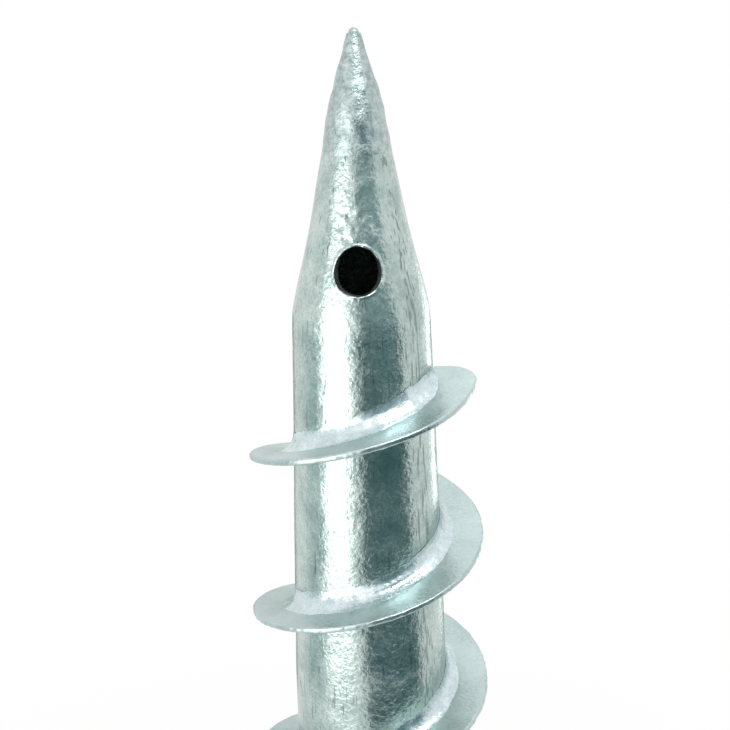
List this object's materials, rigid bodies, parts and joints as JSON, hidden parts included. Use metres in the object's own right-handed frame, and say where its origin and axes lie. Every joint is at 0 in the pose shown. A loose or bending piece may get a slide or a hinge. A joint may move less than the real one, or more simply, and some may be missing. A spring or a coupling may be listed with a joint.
{
  "type": "foundation ground screw",
  "caption": "Galvanised steel ground screw: tapered swaged tube with a forged point, a welded helical blade, a vent hole in the nose and a bolted head flange",
  "frame": {"origin": "centre of the head flange's flat underside, on the tube's axis", "axes": "+Z along the tube's axis from the head flange to the point; -Y is the side with the vent hole; +X completes the right-handed set"},
  "size_m": [0.22, 0.22, 0.865],
  "materials": {
    "shaft_tube": "hot-dip galvanised swaged tube, mottled pale grey, rough satin",
    "forged_point": "hot-dip galvanised forging, rough and lumpy",
    "weld_bead": "galvanised weld bead, lumpy satin",
    "helix_blade": "hot-dip galvanised flat bar, rough satin with zinc beads on its rim",
    "head_flange": "hot-dip galvanised plate, satin"
  },
  "bodies": {
    "root": {"shaft_tube": "shaft_tube", "forged_point": "forged_point", "point_weld": "weld_bead", "helix_blade": "helix_blade", "helix_weld_top": "weld_bead", "helix_weld_under": "weld_bead", "flange_weld": "weld_bead", "head_flange": "head_flange"}
  },
  "joints": []
}
